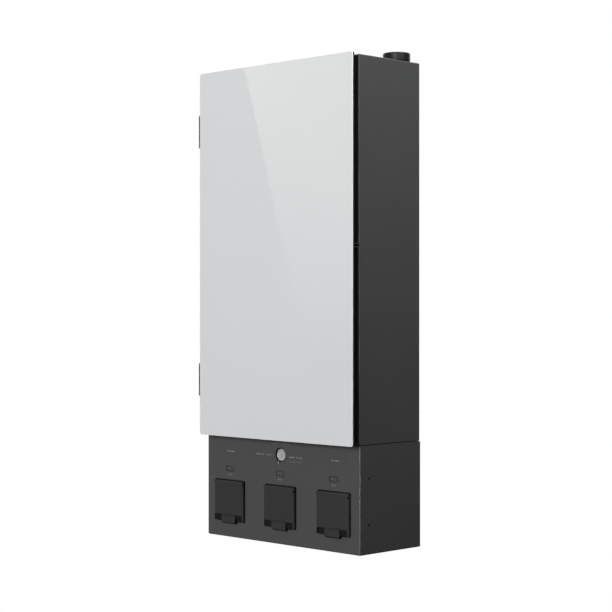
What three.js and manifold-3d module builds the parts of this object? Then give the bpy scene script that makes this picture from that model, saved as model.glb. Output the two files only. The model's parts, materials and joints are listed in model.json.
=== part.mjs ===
// Wall-mounted home energy panel: an upper cabinet with a hinged glass-fronted door, over a lower
// connection box with three flip-lidded power inlets. Millimetres, +Z up, front towards -Y.
// The wall plane is Y = 0. Inside the unit group, heights are measured from the underside.

import * as THREE from "three";
import { mergeVertices } from "three/addons/utils/BufferGeometryUtils.js";
import Module from "manifold-3d";

const wasm = await Module();
wasm.setup();

// ---------------------------------------------------------------- driving dimensions

const SHEET = 1.5; // steel sheet thickness
const GAP = 0.3; // between pieces that touch
const ROUND = 20; // sides of a small round piece

const BODY_HEIGHT = 870;
const BODY_DEPTH = 158;
const FRONT = -BODY_DEPTH; // front face of the steel body

const CABINET = { halfWidth: 196, bottom: 191.4, top: BODY_HEIGHT, flange: 14 };
const BOX = { halfWidth: 198, top: 190, flange: 10 }; // lower connection box
const WALL_HOLE = { x: 150, radius: 4.5, inset: 60 }; // keeps clear of the cabinet's top and bottom
const CABLE_PASS = { halfWidth: 150, front: -110, back: -40 }; // between cabinet and box

const DOOR = { halfWidth: 198.5, bottom: 190.2, top: 871.8, front: -178, thickness: 5 };
const DOOR_EDGE = 1.6; // bevel round the glass front
const DOOR_CORNER = 3;
const TRAY = { inset: 5.3, back: -160.8, flange: 11 };
const SEAL = { width: 6, inset: 4.9 };

const PIVOT = { x: -205.9, y: -167.5 }; // door hinge axis
const HINGE = { length: 61.4, barrel: 5, pin: 2.2, bore: 2.5, knuckle: 20 };
const HINGE_BOTTOMS = { lower: 262.8, upper: 732.8 };

const CATCH = { height: 538.2, wire: 1.4, span: 7, padHeight: 18, stand: 4.5 };
const CATCH_TONGUE = [188.6, 190.8]; // the part of the striker that enters the cabinet flange

const ANTENNA = { x: 168, y: -30, radius: 24.6, height: 15.6, gasket: 1.7, stem: 5.5 };

const INLET_SPACING = 135;
const INLET = { centre: 68.55, openWidth: 82, openHeight: 78.5, corner: 3 };
const FLAP = { width: 79, front: -163.9, back: -156.8, bottom: 31, bandTop: 42.5, skin: 2.5, round: 4 };
// How far the lower band lies behind the face at its top and foot, and the cheeks left beside it.
const FLAP_BAND = { step: 1.5, setback: 3, cheek: 2.5 };
const FLAP_AXIS = { y: -159.9, z: 102.1, barrel: 4, pin: 1.5, bore: 1.8 };
const FLAP_EAR = { inner: 37.2, outer: 39.3, radius: 3.6, room: 4.8 }; // room: from the axis to the lid below
const TAB = { width: 37, front: -163.4, bottom: 25.8, depth: 4.9, corner: 2.5, groove: 0.8, underside: 2.5 };
const SOCKET = { rimWidth: 92, rimHeight: 92, rim: 4, bodyWidth: 70, depth: 60, cavity: 56 };
const CONTACT = { base: 46, thickness: 5, powerPin: 4, signalPin: 1.6, length: 30 };

const KNOB = { height: 162.5, radius: 11, recess: 13.5, face: -156.2, grip: 3.6, rim: 1.8, dish: 1 };
const KNOB_REST_ANGLE = THREE.MathUtils.degToRad(24); // pointer left of straight down
const LENS = { height: 128.5, width: 22, tall: 8, corner: 3, depth: 5 };
const SCREW = { radius: 2, y: -134.7, heights: [51.5, 133], length: 9 };

const BACKPLANE = { halfWidth: 172, bottom: 222, top: 845, front: -36 };
const DEAD_FRONT = { halfWidth: 178, bottom: 212, top: 850, face: -131.5, return: 20 };
const BREAKER = { height: 50, shoulder: -118, nose: -134, back: -44 };
const BRANCH_ROWS = [532, 586, 640];
const MAIN_HEIGHT = 750;
const BUSBAR = { halfWidth: 6, front: -43, back: -39, bottom: 505, top: 700 };
const TERMINAL_BAR = {
  halfWidth: 7,
  front: -52,
  back: -42,
  bottom: 500,
  top: 700,
  screwPitch: 17,
  screwRadius: 4,
};
const BOARD = { halfWidth: 150, front: -62, back: -60, bottom: 320, top: 480 };
const RELAY = { count: 6, pitch: 48, rise: 40, halfWidth: 15, halfHeight: 19, depth: 22 };
const TRANSFER_RELAY = { halfWidth: 70, front: -104, bottom: 228, top: 300, postPitch: 30 };
const HANDLE = { pivotY: -120, reach: 28, throwAngle: THREE.MathUtils.degToRad(20) };

// ---------------------------------------------------------------- solids from three.js geometry

// A closed three.js geometry as a solid that can be joined and cut.
function solid(geometry) {
  const bare = geometry.clone();
  bare.deleteAttribute("normal");
  bare.deleteAttribute("uv");
  const merged = mergeVertices(bare, 1e-4);
  const mesh = new wasm.Mesh({
    numProp: 3,
    vertProperties: new Float32Array(merged.attributes.position.array),
    triVerts: new Uint32Array(merged.index.array),
  });
  return new wasm.Manifold(mesh);
}

// A box between two limits along each axis.
function block([x0, x1], [y0, y1], [z0, z1]) {
  const geometry = new THREE.BoxGeometry(x1 - x0, y1 - y0, z1 - z0);
  geometry.translate((x0 + x1) / 2, (y0 + y1) / 2, (z0 + z1) / 2);
  return solid(geometry);
}

// A cylinder along X, Y or Z, between two limits on that axis.
function rod(axis, radius, [from, to], [a, b], sides = ROUND) {
  const geometry = new THREE.CylinderGeometry(radius, radius, to - from, sides);
  const middle = (from + to) / 2;
  if (axis === "x") geometry.rotateZ(Math.PI / 2).translate(middle, a, b);
  if (axis === "y") geometry.translate(a, middle, b);
  if (axis === "z") geometry.rotateX(Math.PI / 2).translate(a, b, middle);
  return solid(geometry);
}

// Outline of a rectangle with rounded corners, centred on the origin.
function roundedRectangle(width, height, radius) {
  const w = width / 2;
  const h = height / 2;
  const shape = new THREE.Shape();
  shape.moveTo(-w + radius, -h);
  shape.lineTo(w - radius, -h);
  shape.absarc(w - radius, -h + radius, radius, -Math.PI / 2, 0);
  shape.absarc(w - radius, h - radius, radius, 0, Math.PI / 2);
  shape.absarc(-w + radius, h - radius, radius, Math.PI / 2, Math.PI);
  shape.absarc(-w + radius, -h + radius, radius, Math.PI, 1.5 * Math.PI);
  return shape;
}

// An upright plate: a shape in the XZ plane, between two limits along Y.
function upright(shape, [y0, y1], [x, z] = [0, 0], options = {}) {
  const settings = { depth: y1 - y0, bevelEnabled: false, curveSegments: 3, ...options };
  const geometry = new THREE.ExtrudeGeometry(shape, settings);
  geometry.rotateX(Math.PI / 2).translate(x, y1, z);
  return solid(geometry);
}

// A bar along X whose section is given as points in the YZ plane.
function barAlongX(section, [x0, x1]) {
  const shape = new THREE.Shape(section.map(([y, z]) => new THREE.Vector2(y, z)));
  const geometry = new THREE.ExtrudeGeometry(shape, { depth: x1 - x0, bevelEnabled: false });
  const yzx = new THREE.Matrix4().makeBasis(
    new THREE.Vector3(0, 1, 0),
    new THREE.Vector3(0, 0, 1),
    new THREE.Vector3(1, 0, 0),
  );
  geometry.applyMatrix4(yzx).translate(x0, 0, 0);
  return solid(geometry);
}

// A turned piece about a vertical axis, from [radius, height] points.
function turned(profile, [x, y], sides = 28) {
  const points = profile.map(([radius, height]) => new THREE.Vector2(radius, height));
  const geometry = new THREE.LatheGeometry(points, sides);
  geometry.rotateX(Math.PI / 2).translate(x, y, 0);
  return solid(geometry);
}

const join = (first, ...others) => others.reduce((sum, other) => sum.add(other), first);
const cut = (first, ...others) => others.reduce((rest, other) => rest.subtract(other), first);
const span = (half) => [-half, half];
const around = (middle, half) => [middle - half, middle + half];
const bothSides = (make) => [make(-1), make(1)];
const sorted = (a, b) => [Math.min(a, b), Math.max(a, b)];

// ---------------------------------------------------------------- materials

const finish = (color, roughness, metalness) => ({ color, roughness, metalness });
const FINISHES = {
  powderCoat: finish(0x47484a, 0.6, 0.3),
  glass: finish(0xd4d6d6, 0.1, 0.0),
  blackSteel: finish(0x141516, 0.5, 0.4),
  foam: finish(0x0c0c0c, 0.95, 0.0),
  flapPlastic: finish(0x38393a, 0.5, 0.0),
  blackPlastic: finish(0x111112, 0.55, 0.0),
  silver: finish(0xc8c9ca, 0.3, 0.9),
  copper: finish(0xb06a3c, 0.35, 1.0),
  brass: finish(0xc0a060, 0.35, 1.0),
  zinc: finish(0x9a9c9e, 0.4, 0.9),
  lens: finish(0x3a3c3e, 0.2, 0.0),
  circuitGreen: finish(0x1f5136, 0.6, 0.0),
};

const unit = new THREE.Group();
unit.position.z = -BODY_HEIGHT / 2;

// Puts a solid into a group as a named mesh.
function place(group, name, made, finishName) {
  const { vertProperties, triVerts } = made.getMesh();
  const geometry = new THREE.BufferGeometry();
  geometry.setAttribute("position", new THREE.BufferAttribute(vertProperties, 3));
  geometry.setIndex(new THREE.BufferAttribute(triVerts, 1));
  geometry.computeVertexNormals();
  const material = new THREE.MeshStandardMaterial({ ...FINISHES[finishName], flatShading: true });
  const mesh = new THREE.Mesh(geometry, material);
  mesh.name = name;
  group.add(mesh);
}

function groupAt(x, y, z) {
  const group = new THREE.Group();
  group.position.set(x, y, z);
  unit.add(group);
  return group;
}

// ---------------------------------------------------------------- steel body

function upperCabinet() {
  const { halfWidth, bottom, top, flange } = CABINET;
  const outside = block(span(halfWidth), [FRONT, 0], [bottom, top]);
  const inside = block(span(halfWidth - SHEET), [FRONT + SHEET, -SHEET], [bottom + SHEET, top - SHEET]);
  const mouth = block(span(halfWidth - flange), [FRONT - 1, FRONT + 2], [bottom + flange, top - flange]);
  const { halfWidth: passHalf, front, back } = CABLE_PASS;
  const cablePass = block(span(passHalf), [front, back], [bottom - 1, bottom + 3]);
  const antennaHole = rod("z", ANTENNA.stem + 0.7, [top - 4, top + 1], [ANTENNA.x, ANTENNA.y]);
  const [tongueInner, tongueOuter] = CATCH_TONGUE;
  const slotX = [tongueInner - 1, tongueOuter + 1];
  const catchSlot = block(slotX, [FRONT - 1, FRONT + 2], around(CATCH.height, CATCH.span / 2 + 1));
  const wallHoles = [];
  for (const x of [-WALL_HOLE.x, WALL_HOLE.x])
    for (const z of [bottom + WALL_HOLE.inset, top - WALL_HOLE.inset])
      wallHoles.push(rod("y", WALL_HOLE.radius, [-4, 1], [x, z], 16));
  return cut(outside, inside, mouth, cablePass, antennaHole, catchSlot, ...wallHoles);
}

function lowerCover() {
  const { halfWidth, top, flange } = BOX;
  const outside = block(span(halfWidth), [FRONT, 0], [0, top]);
  const inside = block(span(halfWidth - SHEET), [FRONT + SHEET, 1], [SHEET, top - SHEET]);
  const topMouth = block(span(halfWidth - flange), [FRONT + flange, 1], [top - 3, top + 1]);
  const through = [FRONT - 1, FRONT + 3];
  const holes = [rod("y", KNOB.recess, through, [0, KNOB.height], 32)];
  const port = roundedRectangle(INLET.openWidth, INLET.openHeight, INLET.corner);
  const slot = roundedRectangle(LENS.width + 2 * GAP, LENS.tall + 2 * GAP, LENS.corner);
  for (const side of [-1, 0, 1]) {
    holes.push(upright(port, through, [side * INLET_SPACING, INLET.centre]));
    holes.push(upright(slot, through, [side * INLET_SPACING, LENS.height]));
  }
  for (const z of SCREW.heights)
    holes.push(rod("x", SCREW.radius + GAP, span(halfWidth + 1), [SCREW.y, z], 16));
  return cut(outside, inside, topMouth, ...holes);
}

function lowerChassis() {
  const wall = BOX.halfWidth - SHEET - GAP;
  const partitionHalf = CABINET.halfWidth - 1;
  const partitionTop = CABINET.bottom - GAP;
  const back = block(span(wall), [-SHEET, 0], [SHEET + GAP, BOX.top - SHEET - GAP]);
  const riserHalf = BOX.halfWidth - BOX.flange - GAP;
  const riser = block(span(riserHalf), [-SHEET, 0], [BOX.top - 4, partitionTop]);
  const partition = block(span(partitionHalf), [FRONT + 5, 0], [BOX.top + GAP, partitionTop]);
  const { halfWidth: passHalf, front, back: passBack } = CABLE_PASS;
  const cablePass = block(span(passHalf), [front, passBack], [BOX.top - 1, CABINET.bottom]);
  const tabs = bothSides((side) => {
    const x = sorted(side * (wall - SHEET), side * wall);
    return block(x, [SCREW.y - 12, 0], [SCREW.heights[0] - 12, SCREW.heights[1] + 12]);
  });
  const screwHoles = SCREW.heights.map((z) =>
    rod("x", SCREW.radius + GAP, span(BOX.halfWidth), [SCREW.y, z], 16),
  );
  return cut(join(back, riser, partition, ...tabs), cablePass, ...screwHoles);
}

function sideScrew(side, height) {
  const tip = BOX.halfWidth - SCREW.length;
  const shank = rod("x", SCREW.radius, [tip, BOX.halfWidth], [SCREW.y, height], 16);
  const socket = rod("x", 1, [BOX.halfWidth - 2, BOX.halfWidth + 1], [SCREW.y, height], 6);
  const screw = cut(shank, socket);
  return side > 0 ? screw : screw.rotate([0, 0, 180]).translate([0, 2 * SCREW.y, 0]);
}

// ---------------------------------------------------------------- door

function doorPanel() {
  const { halfWidth, bottom, top, front, thickness } = DOOR;
  const outline = roundedRectangle(2 * halfWidth, top - bottom, DOOR_CORNER);
  const bevel = {
    bevelEnabled: true,
    bevelThickness: DOOR_EDGE,
    bevelSize: DOOR_EDGE,
    bevelOffset: -DOOR_EDGE,
    bevelSegments: 2,
    depth: thickness,
  };
  // The bevel is on both faces; the rear one is cut away with the excess depth.
  const back = front + thickness;
  const sheet = upright(outline, [front + DOOR_EDGE, back + DOOR_EDGE], [0, (bottom + top) / 2], bevel);
  return cut(sheet, block(span(halfWidth + 1), [back, back + 10], [bottom - 1, top + 1]));
}

function doorTray() {
  const half = DOOR.halfWidth - TRAY.inset;
  const bottom = DOOR.bottom + TRAY.inset;
  const top = DOOR.top - TRAY.inset;
  const front = DOOR.front + DOOR.thickness + GAP;
  const outside = block(span(half), [front, TRAY.back], [bottom, top]);
  const inside = block(span(half - SHEET), [front + SHEET, TRAY.back - SHEET], [bottom + SHEET, top - SHEET]);
  const { flange } = TRAY;
  const mouth = block(span(half - flange), [TRAY.back - 3, TRAY.back + 1], [bottom + flange, top - flange]);
  return cut(outside, inside, mouth);
}

function doorSeal() {
  const half = DOOR.halfWidth - TRAY.inset - SEAL.inset;
  const bottom = DOOR.bottom + TRAY.inset + SEAL.inset;
  const top = DOOR.top - TRAY.inset - SEAL.inset;
  const depth = [TRAY.back + GAP, FRONT - GAP];
  const ring = block(span(half), depth, [bottom, top]);
  const { width } = SEAL;
  return cut(ring, block(span(half - width), [-170, -150], [bottom + width, top - width]));
}

// Hinge pieces are drawn about the hinge axis, from the hinge's lower end.
const cabinetSide = PIVOT.x + CABINET.halfWidth;
const LEAF = {
  outer: -cabinetSide - GAP, // plate face next to the cabinet's left side, from the axis
  thickness: 1.5,
  cabinetFront: FRONT - PIVOT.y, // the cabinet's front face, from the axis
  reach: 40,
};

function hingeBarrel([from, to]) {
  return rod("z", HINGE.barrel, [from, to], [0, 0]);
}

const hingeBore = () => rod("z", HINGE.bore, [-1, HINGE.length + 1], [0, 0]);

function hingeCabinetLeaf() {
  const inner = LEAF.outer - LEAF.thickness;
  const ends = [
    [0, HINGE.knuckle],
    [HINGE.length - HINGE.knuckle, HINGE.length],
  ];
  const plate = block([inner, LEAF.outer], [LEAF.cabinetFront, LEAF.reach], [0, HINGE.length]);
  const pieces = ends.flatMap((limits) => [
    hingeBarrel(limits),
    block([3, LEAF.outer], [-1, 2], limits),
    block([inner, LEAF.outer], [-1, LEAF.cabinetFront + 1], limits),
  ]);
  return cut(join(plate, ...pieces), hingeBore());
}

function hingeDoorLeaf() {
  const limits = [HINGE.knuckle + GAP, HINGE.length - HINGE.knuckle - GAP];
  const traySide = -PIVOT.x - (DOOR.halfWidth - TRAY.inset);
  const pad = block([traySide - GAP - LEAF.thickness, traySide - GAP], [-5, 6], limits);
  const arm = block([3, traySide - GAP], [-2, 2], limits);
  return cut(join(hingeBarrel(limits), pad, arm), hingeBore());
}

function addHinge(name, bottom) {
  const hinge = groupAt(PIVOT.x, PIVOT.y, bottom);
  place(hinge, `hinge_${name}_cabinet_leaf`, hingeCabinetLeaf(), "blackSteel");
  place(hinge, `hinge_${name}_door_leaf`, hingeDoorLeaf(), "blackSteel");
  place(hinge, `hinge_${name}_pin`, rod("z", HINGE.pin, [0, HINGE.length], [0, 0]), "zinc");
}

// A bracket on the tray's right side: two thin prongs on a pad, joined by a bridge inside the cabinet.
function catchStriker() {
  const { height, wire, span: apart, padHeight, stand } = CATCH;
  const inner = DOOR.halfWidth - TRAY.inset + GAP;
  const trayFront = DOOR.front + DOOR.thickness + 1;
  const elbow = [TRAY.back + GAP, TRAY.back + GAP + wire];
  const tongueEnd = FRONT + 7;
  const pad = block([inner, inner + 0.8], [trayFront, TRAY.back], around(height, padHeight / 2));
  const prongs = [-1, 1].map((side) => {
    const z = around(height + (side * (apart - wire)) / 2, wire / 2);
    const outer = block([inner, inner + stand], [trayFront, FRONT - 1], z);
    const shank = block([inner, inner + 1], [trayFront, elbow[1]], z);
    const step = block([CATCH_TONGUE[0], inner + 1], elbow, z);
    const tongue = block(CATCH_TONGUE, [elbow[0], tongueEnd], z);
    return join(outer, shank, step, tongue);
  });
  const bridge = block(CATCH_TONGUE, [tongueEnd - wire, tongueEnd], around(height, apart / 2));
  return join(pad, ...prongs, bridge);
}

function catchMagnet() {
  const outer = CABINET.halfWidth - SHEET - GAP;
  const front = FRONT + 12;
  return block([outer - 10, outer], [front, front + 12], around(CATCH.height, 12));
}

// ---------------------------------------------------------------- antenna

function antennaDome() {
  const { radius, height, gasket, stem, x, y } = ANTENNA;
  const base = BODY_HEIGHT + gasket + 2 * GAP;
  const top = base + height;
  const roundOver = 4;
  const shoulder = [];
  for (let step = 0; step <= 4; step += 1) {
    const angle = (step / 4) * (Math.PI / 2);
    const out = radius - roundOver * (1 - Math.cos(angle));
    shoulder.push([out, top - 1 - roundOver * (1 - Math.sin(angle))]);
  }
  const profile = [[0, BODY_HEIGHT - 15], [stem, BODY_HEIGHT - 15], [stem, base], [radius, base]];
  return turned([...profile, ...shoulder, [radius / 2, top - 0.25], [0, top]], [x, y]);
}

function antennaGasket() {
  const { radius, gasket, stem, x, y } = ANTENNA;
  const limits = [BODY_HEIGHT + GAP, BODY_HEIGHT + GAP + gasket];
  const disc = rod("z", radius - 1.2, limits, [x, y], 32);
  return cut(disc, rod("z", stem + 0.7, [limits[0] - 1, limits[1] + 1], [x, y]));
}

// ---------------------------------------------------------------- electrical interior

function backplane() {
  const { halfWidth, bottom, top, front } = BACKPLANE;
  const outside = block(span(halfWidth), [front, -SHEET - GAP], [bottom, top]);
  const hollow = block(span(halfWidth - SHEET), [front + SHEET, 0], [bottom - 1, top + 1]);
  return cut(outside, hollow);
}

function deadFront() {
  const { halfWidth, bottom, top, face } = DEAD_FRONT;
  const outside = block(span(halfWidth), [face, face + DEAD_FRONT.return], [bottom, top]);
  const hollow = block(span(halfWidth - SHEET), [face + SHEET, 0], [bottom - 1, top + 1]);
  const branchWindow = block(span(53), [face - 1, 0], [BRANCH_ROWS[0] - 24, BRANCH_ROWS[2] + 24]);
  const mainWindow = block(span(42), [face - 1, 0], around(MAIN_HEIGHT, 30));
  return cut(outside, hollow, branchWindow, mainWindow);
}

// A branch breaker lies along +X from the panel's middle, drawn about its own mid height.
const BRANCH_HANDLE_X = 32;

function branchBreaker() {
  const { height, shoulder, nose, back } = BREAKER;
  const body = block([6, 82], [shoulder, back], span(height / 2));
  const raised = block([14, 50], [nose, shoulder + 1], span(18));
  const well = block(around(BRANCH_HANDLE_X, 10), [nose - 1, HANDLE.pivotY + 11], span(4.5));
  const terminal = block([74, 83], [shoulder - 1, shoulder + 14], span(8));
  return cut(join(body, raised), well, terminal);
}

// A toggle about its own pivot: a barrel along the given half length and a lever, thrown to one side.
function toggle(halfLength, radius) {
  const barrel = rod("z", radius, span(halfLength), [0, 0], 20);
  const lever = block(span(3.4), [-HANDLE.reach, 0], span(halfLength));
  return join(barrel, lever);
}

function addBranchBreaker(number, row, side) {
  const breaker = groupAt(0, 0, row);
  if (side < 0) breaker.rotation.y = Math.PI;
  place(breaker, `branch_breaker_${number}`, branchBreaker(), "blackPlastic");
  const pivot = new THREE.Group();
  pivot.position.set(BRANCH_HANDLE_X, HANDLE.pivotY, 0);
  pivot.rotation.z = -HANDLE.throwAngle;
  breaker.add(pivot);
  place(pivot, `branch_handle_${number}`, toggle(4, 9), "blackPlastic");
}

function mainBreaker() {
  const { shoulder, nose, back } = BREAKER;
  const body = block(span(50), [shoulder, back], span(48));
  const raised = block(span(38), [nose, shoulder + 1], span(26));
  const well = block(span(9), [nose - 1, HANDLE.pivotY + 12], span(11.5));
  const terminals = [-1, 1].flatMap((end) =>
    [-25, 25].map((x) => {
      const z = sorted(end * 38, end * 49);
      return block(around(x, 9), [shoulder - 1, shoulder + 16], z);
    }),
  );
  return cut(join(body, raised), well, ...terminals);
}

function addMainBreaker() {
  const breaker = groupAt(0, 0, MAIN_HEIGHT);
  place(breaker, "main_breaker", mainBreaker(), "blackPlastic");
  const pivot = new THREE.Group();
  pivot.position.set(0, HANDLE.pivotY, 0);
  pivot.rotation.x = -HANDLE.throwAngle;
  breaker.add(pivot);
  const turn = new THREE.Group();
  turn.rotation.y = Math.PI / 2;
  pivot.add(turn);
  place(turn, "main_handle", toggle(8.4, 10), "blackPlastic");
}

// A bar with a row of clamping screws along it.
function terminalBar(x) {
  const { front, back, bottom, top, screwPitch } = TERMINAL_BAR;
  const bar = block(around(x, TERMINAL_BAR.halfWidth), [front, back], [bottom, top]);
  const screws = [];
  for (let z = bottom + 15; z <= top - 15; z += screwPitch)
    screws.push(rod("y", TERMINAL_BAR.screwRadius, [front - 4, front + 1], [x, z], 8));
  return join(bar, ...screws);
}

function busbar(x) {
  const { halfWidth, front, back, bottom, top } = BUSBAR;
  return block(around(x, halfWidth), [front, back], [bottom, top]);
}

function controlBoard() {
  const { halfWidth, front, back, bottom, top } = BOARD;
  const board = block(span(halfWidth), [front, back], [bottom, top]);
  const bedded = front + 1; // components start inside the board, so that the two are one body
  const relays = [];
  for (let index = 0; index < RELAY.count; index += 1) {
    const x = (index - (RELAY.count - 1) / 2) * RELAY.pitch;
    const z = around(bottom + RELAY.rise, RELAY.halfHeight);
    relays.push(block(around(x, RELAY.halfWidth), [front - RELAY.depth, bedded], z));
  }
  const processor = block(span(20), [front - 4, bedded], around(top - 50, 20));
  const terminalStrip = block(span(130), [front - 12, bedded], [top - 18, top - 4]);
  const capacitors = bothSides((side) =>
    rod("y", 9, [front - 26, bedded], [side * 90, top - 55], 20),
  );
  const standoffs = [bottom + 10, top - 10].flatMap((z) =>
    bothSides((side) => rod("y", 4, [bedded, BACKPLANE.front - GAP], [side * (halfWidth - 8), z], 12)),
  );
  return join(board, ...relays, processor, terminalStrip, ...capacitors, ...standoffs);
}

function transferRelay() {
  const { halfWidth, front, bottom, top, postPitch } = TRANSFER_RELAY;
  const body = block(span(halfWidth), [front, BACKPLANE.front - GAP], [bottom, top]);
  const posts = [-1.5, -0.5, 0.5, 1.5].map((step) =>
    rod("y", 5, [front - 8, front + 1], [step * postPitch, top - 15], 16),
  );
  return join(body, ...posts);
}

// ---------------------------------------------------------------- inlets

// Inlet pieces are drawn about the inlet's middle line, at their true heights.
function inletSocket() {
  const { rimWidth, rimHeight, rim, bodyWidth, depth, cavity } = SOCKET;
  const rimFront = FRONT + SHEET + GAP;
  const middle = [0, INLET.centre];
  const plate = upright(roundedRectangle(rimWidth, rimHeight, 4), [rimFront, rimFront + rim], middle);
  const body = upright(roundedRectangle(bodyWidth, bodyWidth, 5), [rimFront + 1, rimFront + depth], middle);
  const mouth = roundedRectangle(cavity, cavity, 6);
  const hollow = upright(mouth, [rimFront - 1, rimFront + depth - 8], middle);
  const { inner, outer, radius } = FLAP_EAR;
  const ears = bothSides((side) => {
    const x = sorted(side * inner, side * outer);
    const eye = rod("x", radius, x, [FLAP_AXIS.y, FLAP_AXIS.z]);
    return join(eye, block(x, [FLAP_AXIS.y, rimFront + 1], around(FLAP_AXIS.z, radius)));
  });
  const bore = rod("x", FLAP_AXIS.bore, span(60), [FLAP_AXIS.y, FLAP_AXIS.z], 16);
  // Room for the lid's hinge barrel in front of the rim.
  const relief = block(span(inner - 0.1), [rimFront - 1, rimFront + 1], around(FLAP_AXIS.z, 6));
  return cut(join(plate, body, ...ears), hollow, bore, relief);
}

function inletContacts() {
  const { base, thickness, powerPin, signalPin, length } = CONTACT;
  const back = FRONT + SHEET + GAP + SOCKET.depth - 8 - GAP;
  const front = back - thickness;
  const plate = upright(roundedRectangle(base, base, 4), [front, back], [0, INLET.centre]);
  const pins = [];
  for (const x of [-12, 12]) pins.push(rod("y", powerPin, [front - length, front + 1], [x, INLET.centre + 8], 16));
  pins.push(rod("y", powerPin, [front - length, front + 1], [0, INLET.centre - 10], 16));
  for (const x of [-15, 15])
    pins.push(rod("y", signalPin, [front - length + 8, front + 1], [x, INLET.centre - 12], 8));
  return join(plate, ...pins);
}

// The lid's finger tab, rounded at its lower corners and along its lower front edge, up to a given height.
function fingerTab(top) {
  const { width, front, bottom, depth, corner, underside } = TAB;
  const outline = roundedRectangle(width, 2 * (top - bottom), corner);
  const bar = upright(outline, [front, front + depth], [0, top]);
  const above = block(span(width), [front - 1, front + depth + 1], [top, top + width]);
  const square = block(span(width), [front - 1, front + underside], [bottom - 1, bottom + underside]);
  const rounding = rod("x", underside, span(width + 1), [front + underside, bottom + underside], 24);
  return cut(bar, above, cut(square, rounding));
}

// What is cut from the lid at each side: its round front edge, and the notch that clears the socket's ear.
function flapSideCuts(side) {
  const { width, front, back, bottom, round } = FLAP;
  const { z, barrel } = FLAP_AXIS;
  const centre = side * (width / 2 - round);
  const corner = sorted(centre, side * width);
  const square = block(corner, [front - 1, front + round], [bottom - 1, z + barrel + 1]);
  const rounding = rod("z", round, [bottom - 2, z + barrel + 2], [centre, front + round], 24);
  const notch = sorted(side * (FLAP_EAR.inner - GAP), side * width);
  const clearance = block(notch, [front - 1, back + barrel], [z - FLAP_EAR.room, z + barrel + 1]);
  return join(cut(square, rounding), clearance);
}

// The lid: a shallow cap with a recessed, sloping lower band, a finger tab and a hinge barrel along its top.
function inletFlap() {
  const { width, front, back, bottom, bandTop, skin } = FLAP;
  const { y, z, barrel } = FLAP_AXIS;
  const top = z + 1;
  const cap = block(span(width / 2), [front, back], [bottom, top]);
  const { step, setback, cheek } = FLAP_BAND;
  const foot = [[front - 1, bottom - 1], [front + setback, bottom - 1], [front + setback, bottom]];
  const ledge = [[front + step, bandTop - TAB.groove], [front, bandTop], [front - 1, bandTop]];
  const band = barAlongX([...foot, ...ledge], span(width / 2 - cheek));
  const edge = barAlongX([[y - barrel, z - barrel], [y - barrel, z], [y, z], [y, z - barrel]], span(width / 2));
  const hingeBarrelTop = rod("x", barrel, span(width / 2), [y, z], 20);
  const roundedTop = cut(cap, band, block(span(width), [front - 1, 0], [z, z + 20]));
  const inner = width / 2 - skin;
  const hollow = block(span(inner), [front + skin, 0], [bandTop + 1, z - barrel - 2]);
  const tab = fingerTab(bandTop - TAB.groove);
  const bore = rod("x", FLAP_AXIS.bore, span(60), [y, z], 16);
  return cut(join(roundedTop, edge, hingeBarrelTop, tab), ...bothSides(flapSideCuts), hollow, bore);
}

function addInlet(number, x) {
  const inlet = groupAt(x, 0, 0);
  const pinHalf = FLAP_EAR.outer - 1;
  place(inlet, `inlet_socket_${number}`, inletSocket(), "blackPlastic");
  place(inlet, `inlet_contacts_${number}`, inletContacts(), "brass");
  place(inlet, `inlet_flap_${number}`, inletFlap(), "flapPlastic");
  const pin = rod("x", FLAP_AXIS.pin, span(pinHalf), [FLAP_AXIS.y, FLAP_AXIS.z], 12);
  place(inlet, `flap_pin_${number}`, pin, "zinc");
  const lens = roundedRectangle(LENS.width, LENS.tall, LENS.corner);
  const lensSolid = upright(lens, [FRONT + GAP, FRONT + LENS.depth], [0, LENS.height]);
  place(inlet, `indicator_lens_${number}`, lensSolid, "lens");
}

// ---------------------------------------------------------------- selector

// Drawn about the knob's axis.
function selectorKnob() {
  const { radius, face, grip, rim, dish } = KNOB;
  const disc = rod("y", radius, [face, face + 6], [0, 0], 32);
  const hollow = rod("y", radius - rim, [face - 1, face + dish], [0, 0], 32);
  const shaft = rod("y", 3, [face + 5, face + 22], [0, 0], 16);
  const bar = block(span(grip / 2), [face + 0.2, face + 2], span(radius - 1.2));
  return join(cut(disc, hollow), shaft, bar);
}

function knobBezel() {
  const { recess, face } = KNOB;
  const outer = recess - GAP;
  const limits = [FRONT + GAP, face + 12];
  const cup = rod("y", outer, limits, [0, 0], 32);
  const hollow = rod("y", outer - 1.2, [FRONT - 1, face + 9], [0, 0], 32);
  const flangeRing = rod("y", recess + 4, [FRONT + SHEET + GAP, FRONT + SHEET + GAP + 2], [0, 0], 32);
  const shaftHole = rod("y", 3.4, [FRONT, 0], [0, 0], 16);
  return cut(join(cup, flangeRing), hollow, shaftHole);
}

function rotarySwitch() {
  const front = KNOB.face + 12 + GAP;
  const body = block(span(15), [front, front + 34], span(15));
  const bore = rod("y", 3.4, [front - 1, front + 12], [0, 0], 16);
  const lugs = [-8, 8].map((x) => block(around(x, 1.5), [front + 33, front + 42], span(4)));
  return cut(join(body, ...lugs), bore);
}

function addSelector() {
  const selector = groupAt(0, 0, KNOB.height);
  place(selector, "knob_bezel", knobBezel(), "blackPlastic");
  place(selector, "rotary_switch", rotarySwitch(), "blackPlastic");
  const turn = new THREE.Group();
  turn.rotation.y = KNOB_REST_ANGLE;
  selector.add(turn);
  place(turn, "selector_knob", selectorKnob(), "silver");
}

// ---------------------------------------------------------------- assembly

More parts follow.
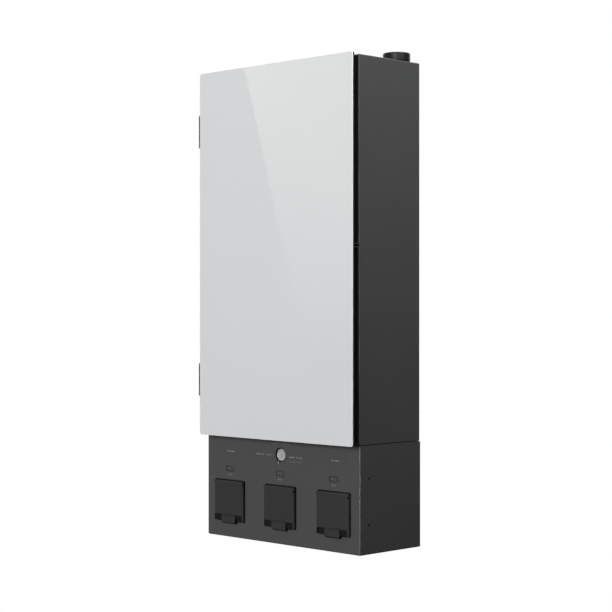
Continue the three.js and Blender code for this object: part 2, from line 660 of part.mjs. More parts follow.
place(unit, "upper_cabinet", upperCabinet(), "powderCoat");
place(unit, "lower_cover", lowerCover(), "powderCoat");
place(unit, "lower_chassis", lowerChassis(), "blackSteel");
SCREW.heights.forEach((height, index) => {
  const level = index === 0 ? "lower" : "upper";
  place(unit, `side_screw_left_${level}`, sideScrew(-1, height), "blackSteel");
  place(unit, `side_screw_right_${level}`, sideScrew(1, height), "blackSteel");
});

place(unit, "door_panel", doorPanel(), "glass");
place(unit, "door_tray", doorTray(), "blackSteel");
place(unit, "door_seal", doorSeal(), "foam");
for (const [name, bottom] of Object.entries(HINGE_BOTTOMS)) addHinge(name, bottom);
place(unit, "catch_striker", catchStriker(), "zinc");
place(unit, "catch_magnet", catchMagnet(), "blackPlastic");

place(unit, "antenna_dome", antennaDome(), "blackPlastic");
place(unit, "antenna_gasket", antennaGasket(), "foam");

place(unit, "backplane", backplane(), "zinc");
place(unit, "dead_front", deadFront(), "powderCoat");
place(unit, "busbar_left", busbar(-30), "copper");
place(unit, "busbar_right", busbar(30), "copper");
place(unit, "neutral_bar", terminalBar(-155), "zinc");
place(unit, "ground_bar", terminalBar(155), "copper");
place(unit, "control_board", controlBoard(), "circuitGreen");
place(unit, "transfer_relay", transferRelay(), "blackPlastic");
addMainBreaker();
BRANCH_ROWS.forEach((row, index) => {
  addBranchBreaker(2 * index + 1, row, -1);
  addBranchBreaker(2 * index + 2, row, 1);
});

[-1, 0, 1].forEach((side, index) => addInlet(index + 1, side * INLET_SPACING));
addSelector();

export default unit;
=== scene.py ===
"""The looks of a wall energy panel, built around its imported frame. Blender 4.5, metres, +Z up, front -Y.

Pieces are drawn in millimetres with heights from the panel's underside, and are scaled when they are added.
"""

import json
import math

import bmesh
import bpy
from mathutils import Matrix, Vector


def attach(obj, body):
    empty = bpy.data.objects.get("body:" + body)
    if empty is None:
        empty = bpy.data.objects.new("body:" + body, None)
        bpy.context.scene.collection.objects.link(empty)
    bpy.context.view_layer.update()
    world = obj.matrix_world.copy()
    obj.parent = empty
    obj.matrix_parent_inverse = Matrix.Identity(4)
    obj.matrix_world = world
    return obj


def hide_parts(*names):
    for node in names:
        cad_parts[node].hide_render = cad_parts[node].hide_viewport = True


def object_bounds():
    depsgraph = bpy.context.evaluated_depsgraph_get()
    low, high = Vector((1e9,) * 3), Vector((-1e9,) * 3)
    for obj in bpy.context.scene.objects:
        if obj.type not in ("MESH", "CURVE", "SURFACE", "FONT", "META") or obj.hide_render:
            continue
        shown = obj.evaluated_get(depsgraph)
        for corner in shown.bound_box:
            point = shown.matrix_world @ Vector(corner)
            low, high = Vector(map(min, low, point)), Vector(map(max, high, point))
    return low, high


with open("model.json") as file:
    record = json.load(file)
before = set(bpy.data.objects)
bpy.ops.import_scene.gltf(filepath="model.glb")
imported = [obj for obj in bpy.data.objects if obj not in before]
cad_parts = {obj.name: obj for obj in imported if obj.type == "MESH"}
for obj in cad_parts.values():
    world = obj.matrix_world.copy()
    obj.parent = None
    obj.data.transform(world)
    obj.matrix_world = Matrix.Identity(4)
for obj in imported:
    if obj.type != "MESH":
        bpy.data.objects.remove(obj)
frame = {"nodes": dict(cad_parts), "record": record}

CAD_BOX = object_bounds()
SCENE = bpy.context.scene
RECORD = frame["record"]
BODY_OF = {node: body for body, nodes in RECORD["behaviour"]["bodies"].items() for node in nodes}
SLOT_OF = {part["node"]: part["material_slot"] for part in RECORD["subparts"]}

BODY_HEIGHT = 870
TO_FRAME = Matrix.Scale(0.001, 4) @ Matrix.Translation((0, 0, -BODY_HEIGHT / 2))
FROM_FRAME = TO_FRAME.inverted()

FRONT = -158  # front face of the steel body
CABINET = {"half_width": 196, "top": 870}
BOX = {"half_width": 198, "bottom": 0}
BEND = 2.3  # outside radius of a bent steel edge
DOOR = {
    "half_width": 198.5,
    "bottom": 190.2,
    "top": 871.8,
    "front": -178,
    "back": -173,
    "corner": 3,
    "edge": 1.6,
}
STRIKER_PAD = {"side": 194.45, "back": -160.7}  # just past the outer side and the back of the striker's pad
INLET_X = (-135, 0, 135)
# A lid's recess is under its band's top, behind the face of the finger tab and between the cheeks.
LID = {"band_top": 42.3, "tab_face": -163.3, "cheek": 37.1, "tab_side": 18.5}
LENS = {"width": 22, "height": 8, "corner": 3, "recess": 0.3, "depth": 5, "z": 128.5}
KNOB = {
    "z": 162.5,
    "radius": 11,
    "rim": 1.8,
    "face": -156.2,
    "dish": 1.0,
    "skirt": 6,
    "shaft": 3,
    "shaft_length": 22,
    "bar": 3.6,
    "bar_inset": 1.2,
    "turn": math.radians(24),
}
ANTENNA = {"x": 168, "y": -30, "radius": 24.6, "base": 872.3, "top": 887.9, "stem": 5.5, "stem_length": 17}
PRINT = {"height": 2, "rise": 0.06, "sink": 0.1}
RING = {"inner": 0.3, "outer": 1.4, "rise": 0.04}  # inner and outer: how far its edges lie outside the lens
POINTER = {"x": -5.5, "z": 149.2, "width": 1.2, "height": 5.4, "corner": 0.5}

# What is painted otherwise inside lies in front of these depths. The board's parts are told apart by height.
HANDLE_CORNER = -146.5
RELAY_POSTS = -104.3
BOARD = {
    "face": -62.3,
    "relays": (340, 380),
    "terminals": (461, 477),
    "processor": (405, 455),
    "cans": (410, 440),
}


# ------------------------------------------------------------------ camera, stage and light

CAMERA = {"place": (2.1144, -2.2068, -0.0031), "turn": math.radians(45), "lens": 95.35, "sensor": 36}

# Two points of the line in the door's plane where the pale card's edge is seen, as x and height.
REFLECTION = {"top": (-85, 905), "foot": (100, 302)}

# Each lobe of the room's own light: direction, cosines where it starts and is full, strength.
ROOM_LIGHT = (
    ((0, 0, 1), -1.0, 1.0, 0.05),
    ((0, 0, 1), 0.5, 1.0, 0.35),
    ((-1, 1, 0.3), 0.3, 0.9, 1.3),
    ((-1, -1, 0.2), 0.2, 0.9, 0.15),
)


def make_camera():
    camera = bpy.data.objects.new("camera", bpy.data.cameras.new("camera"))
    SCENE.collection.objects.link(camera)
    camera.location = CAMERA["place"]
    camera.rotation_euler = (math.radians(90), 0, CAMERA["turn"])
    camera.data.lens = CAMERA["lens"]
    camera.data.sensor_width = CAMERA["sensor"]
    camera.data.shift_y = 0.001
    camera.data.clip_end = 200
    SCENE.camera = camera


def glow_material(name, color):
    """Shines as strongly as the mesh's glow attribute says at each corner."""
    material = bpy.data.materials.new(name)
    material.use_nodes = True
    nodes = material.node_tree.nodes
    nodes.clear()
    attribute = nodes.new("ShaderNodeAttribute")
    attribute.attribute_name = "glow"
    glow = nodes.new("ShaderNodeEmission")
    glow.inputs["Color"].default_value = (*color, 1)
    output = nodes.new("ShaderNodeOutputMaterial")
    material.node_tree.links.new(attribute.outputs["Fac"], glow.inputs["Strength"])
    material.node_tree.links.new(glow.outputs[0], output.inputs["Surface"])
    return material


def stage_quad(name, corners, strengths, color=(1, 1, 1)):
    """A glowing four-sided sheet of the stage, which throws no shadow."""
    mesh = bpy.data.meshes.new(name)
    mesh.from_pydata(corners, [], [(0, 1, 2, 3)])
    mesh.attributes.new("glow", "FLOAT", "POINT").data.foreach_set("value", strengths)
    mesh.materials.append(glow_material(name, color))
    quad = bpy.data.objects.new(name, mesh)
    SCENE.collection.objects.link(quad)
    quad.visible_shadow = False
    return quad


def make_floor():
    """A wide floor well below the panel, white to the camera. It neither lights nor is reflected."""
    reach = 60
    drop = 0.55
    height = CAD_BOX[0].z - drop
    corners = [(reach * x, reach * y, height) for x, y in ((-1, -1), (1, -1), (1, 1), (-1, 1))]
    floor = stage_quad("floor", corners, (1, 1, 1, 1))
    floor.visible_diffuse = False
    floor.visible_glossy = False


def make_door_reflector():
    """A pale card to the front left. The glass shows its straight slanting edge, as in a studio."""
    eye = SCENE.camera.location
    glass = DOOR["front"] / 1000
    mirrored_eye = Vector((eye.x, 2 * glass - eye.y, eye.z))
    times_as_far = 1.9
    width = 0.62
    edge = []
    for x, z in (REFLECTION["top"], REFLECTION["foot"]):
        seen = TO_FRAME @ Vector((x, DOOR["front"], z))
        edge.append(mirrored_eye + (seen - mirrored_eye) * times_as_far)
    top, foot = edge
    aside = Vector((1, -1, 0)).normalized() * width
    glow = (1.8, 0, 0, 0.8)
    tint = (1.0, 1.03, 0.92)
    card = stage_quad("door_reflector", [top, foot, foot + aside, top + aside], glow, tint)
    card.visible_camera = False
    card.visible_diffuse = False


def lobe(tree, toward, direction, start, end, strength):
    """Light that grows from nothing to its full strength as a ray turns towards a direction."""
    dot = tree.nodes.new("ShaderNodeVectorMath")
    dot.operation = "DOT_PRODUCT"
    dot.inputs[1].default_value = Vector(direction).normalized()
    tree.links.new(toward, dot.inputs[0])
    ramp = tree.nodes.new("ShaderNodeMapRange")
    ramp.interpolation_type = "SMOOTHSTEP"
    ramp.inputs["From Min"].default_value = start
    ramp.inputs["From Max"].default_value = end
    ramp.inputs["To Max"].default_value = strength
    tree.links.new(dot.outputs["Value"], ramp.inputs["Value"])
    return ramp.outputs[0]


def room_strength(tree):
    """The sum of all the room's lobes in the direction of a ray."""
    toward = tree.nodes.new("ShaderNodeTexCoord").outputs["Generated"]
    total = None
    for values in ROOM_LIGHT:
        part = lobe(tree, toward, *values)
        if total:
            add = tree.nodes.new("ShaderNodeMath")
            tree.links.new(total, add.inputs[0])
            tree.links.new(part, add.inputs[1])
            part = add.outputs[0]
        total = part
    return total


def make_world():
    """White to the camera. To all else a dim room, lighter overhead and brightest at the back left."""
    SCENE.world = bpy.data.worlds.new("studio")
    SCENE.world.use_nodes = True
    tree = SCENE.world.node_tree
    tree.nodes.clear()
    room = tree.nodes.new("ShaderNodeBackground")
    backdrop = tree.nodes.new("ShaderNodeBackground")
    for background in (room, backdrop):
        background.inputs["Color"].default_value = (1, 1, 1, 1)
    tree.links.new(room_strength(tree), room.inputs["Strength"])
    ray = tree.nodes.new("ShaderNodeLightPath")
    mix = tree.nodes.new("ShaderNodeMixShader")
    tree.links.new(ray.outputs["Is Camera Ray"], mix.inputs["Fac"])
    tree.links.new(room.outputs[0], mix.inputs[1])
    tree.links.new(backdrop.outputs[0], mix.inputs[2])
    output = tree.nodes.new("ShaderNodeOutputWorld")
    tree.links.new(mix.outputs[0], output.inputs["Surface"])


def softbox(name, place, aim, size, power):
    """A rectangular area light that the camera doesn't see."""
    light = bpy.data.lights.new(name, "AREA")
    light.shape = "RECTANGLE"
    light.size, light.size_y = size
    light.energy = power
    lamp = bpy.data.objects.new(name, light)
    SCENE.collection.objects.link(lamp)
    lamp.location = place
    lamp.rotation_euler = (Vector(aim) - Vector(place)).to_track_quat("-Z", "Y").to_euler()
    lamp.visible_camera = False
    return lamp


def make_lights():
    """A soft key that isn't seen reflected, a light over the right side, and a strip only seen reflected."""
    front_key = softbox("front_key", place=(-0.4, -5.0, 1.0), aim=(0, 0, 0), size=(3.4, 2.2), power=228)
    front_key.visible_glossy = False
    softbox("right_top", place=(1.25, -0.15, 1.25), aim=(0.2, -0.1, 0.35), size=(0.7, 0.7), power=25.5)
    edge_strip = softbox("edge_strip", place=(1.6, -2.9, 0.2), aim=(0, 0, 0), size=(0.35, 2.4), power=90)
    edge_strip.visible_diffuse = False


# ------------------------------------------------------------------ materials

class Paint:
    """A node material whose colour, roughness and bump are built up from noise in the object's own space."""

    def __init__(self, name, color, roughness, metallic=0.0, specular=0.5):
        self.material = bpy.data.materials.new(name)
        self.material.use_nodes = True
        self.tree = self.material.node_tree
        self.nodes = self.tree.nodes
        self.shader = self.nodes["Principled BSDF"]
        self.color = color
        self.roughness = roughness
        self.shader.inputs["Base Color"].default_value = (*color, 1)
        self.shader.inputs["Roughness"].default_value = roughness
        self.shader.inputs["Metallic"].default_value = metallic
        self.shader.inputs["Specular IOR Level"].default_value = specular
        self.coords = self.nodes.new("ShaderNodeTexCoord").outputs["Object"]
        self.last_bump = None

    def link(self, source, target):
        self.tree.links.new(source, target)

    def noise(self, scale, detail, stretch=(1, 1, 1)):
        """A noise field with features about 1/scale metres wide, from 0 to 1."""
        mapping = self.nodes.new("ShaderNodeMapping")
        mapping.inputs["Scale"].default_value = stretch
        self.link(self.coords, mapping.inputs["Vector"])
        texture = self.nodes.new("ShaderNodeTexNoise")
        texture.inputs["Scale"].default_value = scale
        texture.inputs["Detail"].default_value = detail
        self.link(mapping.outputs[0], texture.inputs["Vector"])
        return texture.outputs["Fac"]

    def remap(self, field, low, high):
        """Spreads the middle of a noise field, where most of it lies, over a range."""
        node = self.nodes.new("ShaderNodeMapRange")
        node.inputs["From Min"].default_value = 0.3
        node.inputs["From Max"].default_value = 0.7
        node.inputs["To Min"].default_value = low
        node.inputs["To Max"].default_value = high
        self.link(field, node.inputs["Value"])
        return node.outputs[0]

    def vary_color(self, field, amount):
        """The colour runs from (1 - amount) to (1 + amount) times itself over the field."""
        mix = self.nodes.new("ShaderNodeMix")
        mix.data_type = "RGBA"
        darker = [channel * (1 - amount) for channel in self.color]
        lighter = [min(1, channel * (1 + amount)) for channel in self.color]
        mix.inputs["A"].default_value = (*darker, 1)
        mix.inputs["B"].default_value = (*lighter, 1)
        self.link(self.remap(field, 0, 1), mix.inputs["Factor"])
        self.link(mix.outputs["Result"], self.shader.inputs["Base Color"])

    def vary_roughness(self, field, amount):
        spread = self.remap(field, self.roughness - amount, self.roughness + amount)
        self.link(spread, self.shader.inputs["Roughness"])

    def bump(self, field, depth, strength):
        """Adds relief of the given depth in metres on top of any relief already there."""
        node = self.nodes.new("ShaderNodeBump")
        node.inputs["Strength"].default_value = strength
        node.inputs["Distance"].default_value = depth
        self.link(field, node.inputs["Height"])
        if self.last_bump:
            self.link(self.last_bump, node.inputs["Normal"])
        self.last_bump = node.outputs[0]
        self.link(self.last_bump, self.shader.inputs["Normal"])

    def coat(self, weight, roughness):
        self.shader.inputs["Coat Weight"].default_value = weight
        self.shader.inputs["Coat Roughness"].default_value = roughness


def powder_coat():
    """Dark grey powder coat: a fine pebbled skin with faint cloudiness."""
    paint = Paint("powder_coat", (0.063, 0.0645, 0.064), 0.34)
    paint.vary_color(paint.noise(900, 2), 0.10)
    paint.vary_roughness(paint.noise(14, 4), 0.04)
    paint.bump(paint.noise(850, 3), 0.00005, 0.5)
    paint.bump(paint.noise(140, 2), 0.00004, 0.3)
    return paint.material


def door_glass():
    """Pale grey paint under clear glass."""
    paint = Paint("door_glass", (0.664, 0.674, 0.687), 0.5)
    paint.vary_color(paint.noise(5, 3), 0.006)
    paint.vary_roughness(paint.noise(30, 4), 0.04)
    paint.coat(1.0, 0.02)
    return paint.material


def painted_bevel_highlight():
    """Painted highlight: the glass's front bevel, made paler than the glass for the light it catches."""
    paint = Paint("painted_bevel_highlight", (0.90, 0.91, 0.92), 0.5)
    paint.vary_roughness(paint.noise(300, 3), 0.08)
    paint.bump(paint.noise(1200, 2), 0.00002, 0.3)
    return paint.material


def black_paint():
    """Satin black paint on steel."""
    paint = Paint("black_paint", (0.003, 0.003, 0.0033), 0.4, specular=0.08)
    paint.vary_roughness(paint.noise(60, 4), 0.06)
    paint.bump(paint.noise(900, 3), 0.00004, 0.5)
    return paint.material


def foam():
    """Black foam rubber with open cells."""
    paint = Paint("foam", (0.010, 0.010, 0.010), 0.95, specular=0.2)
    paint.vary_color(paint.noise(1200, 3), 0.3)
    paint.bump(paint.noise(1500, 4), 0.0003, 0.8)
    return paint.material


def moulded(name, color, roughness, specular=0.5):
    """Moulded plastic with a spark-eroded grain."""
    grain = 1100
    paint = Paint(name, color, roughness, specular=specular)
    paint.vary_color(paint.noise(grain, 2), 0.08)
    paint.vary_roughness(paint.noise(40, 4), 0.05)
    paint.bump(paint.noise(grain, 3), 0.00005, 0.5)
    return paint.material


def metal(name, color, roughness, stretch=(1, 1, 1), metallic=1.0):
    """Bare metal with drawn or turned marks along the direction that is stretched least."""
    paint = Paint(name, color, roughness, metallic)
    marks = paint.noise(400, 3, stretch)
    paint.vary_color(marks, 0.06)
    paint.vary_roughness(marks, 0.06)
    paint.bump(marks, 0.00003, 0.4)
    return paint.material


def printed_ink(name, color):
    """Matt ink, a little uneven."""
    paint = Paint(name, color, 0.6)
    paint.vary_color(paint.noise(1500, 2), 0.08)
    return paint.material


def smoked_lens():
    """Dark grey window plastic with a thin gloss."""
    paint = Paint("smoked_lens", (0.050, 0.051, 0.053), 0.3)
    paint.vary_roughness(paint.noise(200, 3), 0.05)
    paint.bump(paint.noise(300, 2), 0.00002, 0.3)
    paint.coat(0.6, 0.05)
    return paint.material


def circuit_board_green():
    """Green solder mask with the faint relief of tracks under it."""
    paint = Paint("circuit_board_green", (0.012, 0.085, 0.035), 0.35)
    tracks = paint.nodes.new("ShaderNodeTexBrick")
    tracks.inputs["Scale"].default_value = 90
    tracks.inputs["Mortar Size"].default_value = 0.06
    paint.link(paint.coords, tracks.inputs["Vector"])
    paint.vary_color(paint.noise(240, 4), 0.25)
    paint.bump(tracks.outputs["Fac"], 0.00004, 0.4)
    return paint.material


# One material for each of the record's slots.
MATERIALS = {
    "powder_coat": powder_coat(),
    "door_glass": door_glass(),
    "black_steel": black_paint(),
    "foam_rubber": foam(),
    "flap_plastic": moulded("flap_plastic", (0.0325, 0.0332, 0.0325), 0.6, specular=0.12),
    "black_plastic": moulded("black_plastic", (0.0065, 0.0065, 0.0068), 0.45, specular=0.3),
    "silver": metal("silver", (0.62, 0.62, 0.625), 0.30, (1, 1, 8), metallic=0.5),
    "zinc_steel": metal("zinc_steel", (0.45, 0.46, 0.47), 0.38, (1, 1, 0.1)),
    "copper": metal("copper", (0.68, 0.32, 0.18), 0.32, (1, 1, 0.05)),
    "brass": metal("brass", (0.72, 0.53, 0.25), 0.28, (1, 0.05, 1)),
    "lens_plastic": smoked_lens(),
    "circuit_board": circuit_board_green(),
}
INK = {
    "pale": printed_ink("pale_ink", (0.18, 0.182, 0.184)),
    "faint": printed_ink("faint_ink", (0.10, 0.10, 0.105)),
    "black": printed_ink("black_ink", (0.028, 0.028, 0.029)),
    "white": printed_ink("white_ink", (0.42, 0.42, 0.42)),
}
EXTRAS = {
    "painted_bevel_highlight": painted_bevel_highlight(),
    "band_shadow": moulded("band_shadow", (0.010, 0.0105, 0.010), 0.6, specular=0.1),
    # Painted shade: near-black plastic for the sides of the lids' finger tabs.
    "painted_side_shade": moulded("painted_side_shade", (0.0015, 0.0015, 0.0015), 0.7, specular=0.03),
    "relay_grey": moulded("relay_grey", (0.30, 0.31, 0.32), 0.5),
    "terminal_green": moulded("terminal_green", (0.03, 0.22, 0.09), 0.45),
    "can_silver": metal("can_silver", (0.62, 0.63, 0.65), 0.3),
    # Painted shade: zinc darkened for the striker, which sits in the shaded gap by the door.
    "painted_shade_zinc": metal("painted_shade_zinc", (0.16, 0.165, 0.17), 0.4),
}


# ------------------------------------------------------------------ mesh helpers

def sharp_edges(bm):
    """The edges whose two faces meet at more than 40 degrees."""
    limit = math.radians(40)
    return [e for e in bm.edges if len(e.link_faces) == 2 and e.calc_face_angle(0) > limit]


def bevel(bm, edges, width, segments):
    bmesh.ops.bevel(
        bm,
        geom=list(edges),
        offset=width,
        offset_type="OFFSET",
        segments=segments,
        profile=0.5,
        affect="EDGES",
        clamp_overlap=True,
    )


def add_piece(name, bm, materials, body, replaces=()):
    """Turns a bmesh into a smooth-shaded piece of the object that rides on a CAD body."""
    bmesh.ops.transform(bm, matrix=TO_FRAME, verts=bm.verts)
    bmesh.ops.recalc_face_normals(bm, faces=bm.faces)
    for face in bm.faces:
        face.smooth = True
    mesh = bpy.data.meshes.new(name)
    bm.to_mesh(mesh)
    bm.free()
    for material in materials:
        mesh.materials.append(material)
    piece = bpy.data.objects.new(name, mesh)
    SCENE.collection.objects.link(piece)
    normals = piece.modifiers.new("normals", "WEIGHTED_NORMAL")
    normals.keep_sharp = True
    normals.weight = 100
    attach(piece, body)
    if replaces:
        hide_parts(*replaces)


def stand_for(node, name, bm, extra_materials=()):
    """Adds a piece in the place of a CAD node, with that node's body and material."""
    slot = SLOT_OF[node]
    add_piece(name, bm, [MATERIALS[slot], *extra_materials], BODY_OF[node], [node])


def cad_mesh(node):
    """A CAD node's surface with its flat faces made whole again."""
    bm = bmesh.new()
    bm.from_mesh(frame["nodes"][node].data)
    bmesh.ops.transform(bm, matrix=FROM_FRAME, verts=bm.verts)
    bmesh.ops.remove_doubles(bm, verts=bm.verts, dist=0.002)
    bmesh.ops.dissolve_limit(
        bm,
        angle_limit=math.radians(0.6),
        use_dissolve_boundaries=False,
        verts=bm.verts,
        edges=bm.edges,
    )
    return bm


def paint_faces(bm, index, test):
    """Gives a material index to the faces whose middle passes a test."""
    for face in bm.faces:
        if test(face.calc_center_median()):
            face.material_index = index


def from_cad(node, edge, segments=2, bends=None, extras=()):
    """Stands for a CAD node: its own shape with softened edges, and round bends where asked.

    Extras are pairs of a material and the test that a face's middle passes to get it. A later pair wins.
    """
    bm = cad_mesh(node)
    if bends:
        bevel(bm, [e for e in sharp_edges(bm) if bends(e)], BEND, 4)
    bevel(bm, sharp_edges(bm), edge, segments)
    for index, (_, test) in enumerate(extras, start=1):
        paint_faces(bm, index, test)
    stand_for(node, node + "_skin", bm, [material for material, _ in extras])


def near(value, target):
    return abs(value - target) < 0.2


def outer_edge_of(half_width, *ends):
    """A test for the outer edges of a steel shell: its front corners and those at the given heights."""
    def test(edge):
        at = (edge.verts[0].co + edge.verts[1].co) / 2
        side = near(abs(at.x), half_width)
        front = near(at.y, FRONT)
        end = any(near(at.z, height) for height in ends)
        return (side and front) or (side and end) or (front and end)
    return test


def rounded_outline(width, height, radius, steps=6):
    """Points of a rounded rectangle in the XZ plane, centred on the origin."""
    points = []
    for sx, sz, start in ((1, -1, -90), (1, 1, 0), (-1, 1, 90), (-1, -1, 180)):
        centre = Vector((sx * (width / 2 - radius), 0, sz * (height / 2 - radius)))
        for step in range(steps + 1):
            angle = math.radians(start + 90 * step / steps)
            points.append(centre + Vector((math.cos(angle), 0, math.sin(angle))) * radius)
    return points


def add_slab(bm, outline, front, back, place):
    """Adds a closed slab, from an outline in the XZ plane between two depths. Returns its front face."""
    x, z = place
    shift = Vector((x, 0, z))
    fore = [bm.verts.new(p + shift + Vector((0, front, 0))) for p in outline]
    rear = [bm.verts.new(p + shift + Vector((0, back, 0))) for p in outline]
    face = bm.faces.new(fore)
    bm.faces.new(list(reversed(rear)))
    for i in range(len(outline)):
        j = (i + 1) % len(outline)
        bm.faces.new((fore[j], fore[i], rear[i], rear[j]))
    return face


def add_turned(bm, profile):
    """Adds a solid turned about the Z axis, from (radius, z) points that start and end on the axis."""
    steps = 72
    angles = [2 * math.pi * step / steps for step in range(steps)]
    rings = []
    for radius, z in profile:
        if radius < 1e-6:
            rings.append([bm.verts.new((0, 0, z))])
        else:
            rings.append([bm.verts.new((radius * math.cos(a), radius * math.sin(a), z)) for a in angles])
    for low, high in zip(rings, rings[1:]):
        for step in range(steps):
            pair = (step, (step + 1) % steps)
            corners = [low[i % len(low)] for i in pair] + [high[i % len(high)] for i in reversed(pair)]
            unique = list(dict.fromkeys(corners))
            if len(unique) > 2:
                bm.faces.new(unique)


def join_into(bm, other):
    """Moves another bmesh's geometry into the first."""
    carrier = bpy.data.meshes.new("carrier")
    other.to_mesh(carrier)
    other.free()
    bm.from_mesh(carrier)
    bpy.data.meshes.remove(carrier)


def shoulder(radius, z, round_over):
    """Profile points round the outer top edge of a turned piece."""
    steps = 5
    points = []
    for step in range(steps + 1):
        angle = math.radians(90 * step / steps)
        out = radius - round_over * (1 - math.cos(angle))
        points.append((out, z - round_over * (1 - math.sin(angle))))
    return points


# ------------------------------------------------------------------ steel body

def steel_body():
    cabinet = outer_edge_of(CABINET["half_width"], CABINET["top"])
    box = outer_edge_of(BOX["half_width"], BOX["bottom"])
    from_cad("upper_cabinet", 0.3, bends=cabinet)
    from_cad("lower_cover", 0.6, bends=box)
    from_cad("lower_chassis", 0.3)
    for node in frame["nodes"]:
        if node.startswith("side_screw"):
            from_cad(node, 0.25)


# ------------------------------------------------------------------ door

def door_panel():
    """Glass with a painted highlight on its front bevel, dark round its sides and back."""
    bm = bmesh.new()
    height = DOOR["top"] - DOOR["bottom"]
    outline = rounded_outline(2 * DOOR["half_width"], height, DOOR["corner"])
    place = (0, (DOOR["top"] + DOOR["bottom"]) / 2)
    face = add_slab(bm, outline, DOOR["front"], DOOR["back"], place)
    bevel(bm, face.edges, DOOR["edge"], 3)
    just_behind = 0.01
    # Painted highlight: the bevel and everything behind it take the paler material, then the sides and back
    # take the black.
    paint_faces(bm, 1, lambda at: at.y > DOOR["front"] + just_behind)
    paint_faces(bm, 2, lambda at: at.y > DOOR["front"] + DOOR["edge"] + just_behind)
    stand_for("door_panel", "door_panel_glass", bm, [EXTRAS["painted_bevel_highlight"], MATERIALS["black_steel"]])


def in_striker_pad(at):
    return at.x < STRIKER_PAD["side"] and at.y < STRIKER_PAD["back"]


def door():
    door_panel()
    from_cad("door_tray", 0.6, 3)
    from_cad("door_seal", 1.2, 3)
    # Painted shade: the whole striker takes the darkened zinc for the shade of the gap it sits in. Its pad
    # is black steel.
    dark = [(EXTRAS["painted_shade_zinc"], lambda at: True), (MATERIALS["black_steel"], in_striker_pad)]
    from_cad("catch_striker", 0.25, extras=dark)
    from_cad("catch_magnet", 0.8)
    for level in ("lower", "upper"):
        for part in ("cabinet_leaf", "door_leaf", "pin"):
            from_cad(f"hinge_{level}_{part}", 0.3)


# ------------------------------------------------------------------ antenna

def antenna():
    """A low puck with a soft shoulder and a slightly domed top, on a stem."""
    radius, base, top, stem = (ANTENNA[key] for key in ("radius", "base", "top", "stem"))
    stem_end = base - ANTENNA["stem_length"]
    eased = 0.5
    foot = [(0, stem_end), (stem, stem_end), (stem, base), (radius - eased, base), (radius, base + eased)]
    dome = [(radius * out, top - fall) for out, fall in ((0.8, 0.55), (0.55, 0.25), (0.3, 0.08), (0, 0))]
    bm = bmesh.new()
    add_turned(bm, foot + shoulder(radius, top - 1, 2) + dome)
    bmesh.ops.translate(bm, vec=(ANTENNA["x"], ANTENNA["y"], 0), verts=bm.verts)
    stand_for("antenna_dome", "antenna_cap", bm)
    from_cad("antenna_gasket", 0.3)


# ------------------------------------------------------------------ inlets

def in_recess(at, x):
    """The recessed lower band of the lid at x, and the underside of its finger tab."""
    return at.z < LID["band_top"] and at.y > LID["tab_face"] and abs(at.x - x) < LID["cheek"]


def on_tab_side(at, x):
    """The two sides of the finger tab of the lid at x."""
    return near(abs(at.x - x), LID["tab_side"]) and in_recess(at, x)


def lid(number, x):
    # Painted shade: the recessed band and the tab's sides get plastics darker than the lid's own, for the
    # shade that falls there.
    band = (EXTRAS["band_shadow"], lambda at: in_recess(at, x))
    tab_side_shade = (EXTRAS["painted_side_shade"], lambda at: on_tab_side(at, x))
    from_cad(f"inlet_flap_{number}", 0.6, 3, extras=[band, tab_side_shade])


def indicator(number, x):
    bm = bmesh.new()
    outline = rounded_outline(LENS["width"], LENS["height"], LENS["corner"])
    face = add_slab(bm, outline, FRONT + LENS["recess"], FRONT + LENS["depth"], (x, LENS["z"]))
    bevel(bm, face.edges, 0.5, 3)
    stand_for(f"indicator_lens_{number}", f"indicator_window_{number}", bm)


def inlets():
    # Only a socket's two hinge ears reach past this depth, and they match the lid.
    just_behind = 1
    ears = [(MATERIALS["flap_plastic"], lambda at: at.y < FRONT + just_behind)]
    for number, x in enumerate(INLET_X, start=1):
        from_cad(f"inlet_socket_{number}", 0.4, extras=ears)
        from_cad(f"inlet_contacts_{number}", 0.5)
        from_cad(f"flap_pin_{number}", 0.2)
        lid(number, x)
        indicator(number, x)


# ------------------------------------------------------------------ selector

def knob_profile():
    """Half the section of the knob's cap and shaft, as (radius, height over the face)."""
    radius, skirt, dish, shaft = (KNOB[key] for key in ("radius", "skirt", "dish", "shaft"))
    inner = radius - KNOB["rim"]
    end = -KNOB["shaft_length"]
    eased = 0.4
    stub = [(0, end), (shaft, end), (shaft, -skirt)]
    skirt_edge = [(radius - eased, -skirt), (radius, eased - skirt)]
    rim = [*shoulder(radius, 0, 2 * eased), (inner + 0.3, 0), (inner, -0.3)]
    hollow = [(inner - 0.4, 0.1 - dish), (inner - 0.8, -dish), (0, -dish)]
    return stub + skirt_edge + rim + hollow


def selector_knob():
    """A turned cap with a raised rim, and a rounded finger bar across its dish."""
    bm = bmesh.new()
    add_turned(bm, knob_profile())
    facing = Matrix.Rotation(math.radians(90), 4, "X")
    place = Matrix.Translation((0, KNOB["face"], KNOB["z"]))
    bmesh.ops.transform(bm, matrix=place @ facing, verts=bm.verts)
    bar = bmesh.new()
    bar_length = 2 * (KNOB["radius"] - KNOB["bar_inset"])
    bar_outline = rounded_outline(KNOB["bar"], bar_length, KNOB["bar"] / 2 - 0.1)
    behind_face = 0.2
    root = 2
    face = add_slab(bar, bar_outline, behind_face, root, (0, 0))
    bevel(bar, face.edges, 0.5, 3)
    bmesh.ops.transform(bar, matrix=place @ Matrix.Rotation(KNOB["turn"], 4, "Y"), verts=bar.verts)
    join_into(bm, bar)
    stand_for("selector_knob", "knob_cap", bm)


def selector():
    selector_knob()
    from_cad("knob_bezel", 0.25)
    from_cad("rotary_switch", 0.8)


# ------------------------------------------------------------------ printed marks

def add_print(name, bm, ink):
    add_piece(name, bm, [INK[ink]], "cabinet")


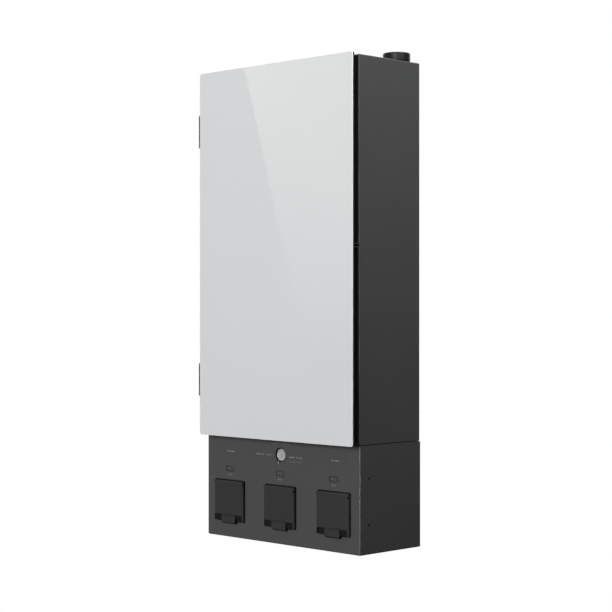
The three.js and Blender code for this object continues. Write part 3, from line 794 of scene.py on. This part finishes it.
def print_bars(name, ink, bars, height=PRINT["height"], front=FRONT):
    """Printed strokes that stand for wording: each is (left, right, z)."""
    bm = bmesh.new()
    for left, right, z in bars:
        outline = rounded_outline(right - left, height, height * 0.45, 3)
        add_slab(bm, outline, front - PRINT["rise"], front + PRINT["sink"], ((left + right) / 2, z))
    add_print(name, bm, ink)


def lens_rings():
    """A dark printed line round each indicator window."""
    bm = bmesh.new()
    width, height, corner = LENS["width"], LENS["height"], LENS["corner"]
    inner = rounded_outline(width + 2 * RING["inner"], height + 2 * RING["inner"], corner)
    outer = rounded_outline(width + 2 * RING["outer"], height + 2 * RING["outer"], corner + 1)
    top = FRONT - RING["rise"]
    root = FRONT + PRINT["sink"]
    count = len(inner)
    for x in INLET_X:
        rings = []
        for outline, y in ((inner, top), (outer, top), (outer, root), (inner, root)):
            shift = Vector((x, y, LENS["z"]))
            rings.append([bm.verts.new(p + shift) for p in outline])
        for one, other in zip(rings, rings[1:] + rings[:1]):
            for i in range(count):
                j = (i + 1) % count
                bm.faces.new((one[i], one[j], other[j], other[i]))
    add_print("print_lens_rings", bm, "black")


def pointer():
    """The short white mark by the knob."""
    bm = bmesh.new()
    outline = rounded_outline(POINTER["width"], POINTER["height"], POINTER["corner"], 3)
    place = (POINTER["x"], POINTER["z"])
    add_slab(bm, outline, FRONT - PRINT["rise"], FRONT + PRINT["sink"], place)
    add_print("print_pointer", bm, "white")


def printed_marks():
    titles = [(left, left + length, 161) for left, length in ((-143, 8), (128, 8), (-133, 10), (138, 10))]
    beside_knob = [(-64, -53, 161), (-51, -43, 161), (-38, -32, 161), (-30, -25, 161)]
    beside_knob += [(22, 36, 160), (40, 46, 160), (48, 55, 160)]
    under_lenses = [(x + left, x + left + 4, 117.5) for x in (-136, -1.7, 134.5) for left in (-5, 1)]
    # The row at 183 lies in the door's shadow. Its faint ink is print with painted shade added. The row at
    # 152 is faint print.
    round_knob = [(-22, -4, 183), (-1, 24, 183), (24, 38, 152), (41, 54, 152)]
    icon = ((-8, -3.5), (-1.5, 1))
    icons = [(x + left, x + right, LENS["z"]) for x in INLET_X for left, right in icon]
    print_bars("print_titles", "pale", titles)
    print_bars("print_positions", "pale", beside_knob)
    print_bars("print_lens_notes", "pale", under_lenses)
    print_bars("print_faint", "faint", round_knob)
    print_bars("print_icons", "faint", icons, 2.2, FRONT + LENS["recess"])
    lens_rings()
    pointer()


# ------------------------------------------------------------------ interior

def breakers():
    corner = [(INK["white"], lambda at: at.y < HANDLE_CORNER)]
    for number in range(1, 7):
        from_cad(f"branch_breaker_{number}", 0.8)
        from_cad(f"branch_handle_{number}", 0.6, extras=corner)
    from_cad("main_breaker", 1.0)
    from_cad("main_handle", 0.8, extras=corner)


def control_board():
    """The board is one solid: its components are told apart by height and by distance from the middle."""
    def raised(at, part):
        low, high = BOARD[part]
        return at.y < BOARD["face"] and low < at.z < high
    extras = [
        (EXTRAS["relay_grey"], lambda at: raised(at, "relays")),
        (EXTRAS["terminal_green"], lambda at: raised(at, "terminals")),
        (MATERIALS["black_plastic"], lambda at: raised(at, "processor") and abs(at.x) < 25),
        (EXTRAS["can_silver"], lambda at: raised(at, "cans") and abs(at.x) > 75),
    ]
    from_cad("control_board", 0.4, extras=extras)


def interior():
    from_cad("backplane", 0.3)
    from_cad("dead_front", 0.4)
    for node in ("busbar_left", "busbar_right", "neutral_bar", "ground_bar"):
        from_cad(node, 0.4)
    breakers()
    control_board()
    from_cad("transfer_relay", 0.8, extras=[(MATERIALS["brass"], lambda at: at.y < RELAY_POSTS)])


# ------------------------------------------------------------------ assembly

SCENE.view_settings.view_transform = "Standard"
make_camera()
make_floor()
make_door_reflector()
make_world()
make_lights()

steel_body()
door()
antenna()
inlets()
selector()
printed_marks()
interior()
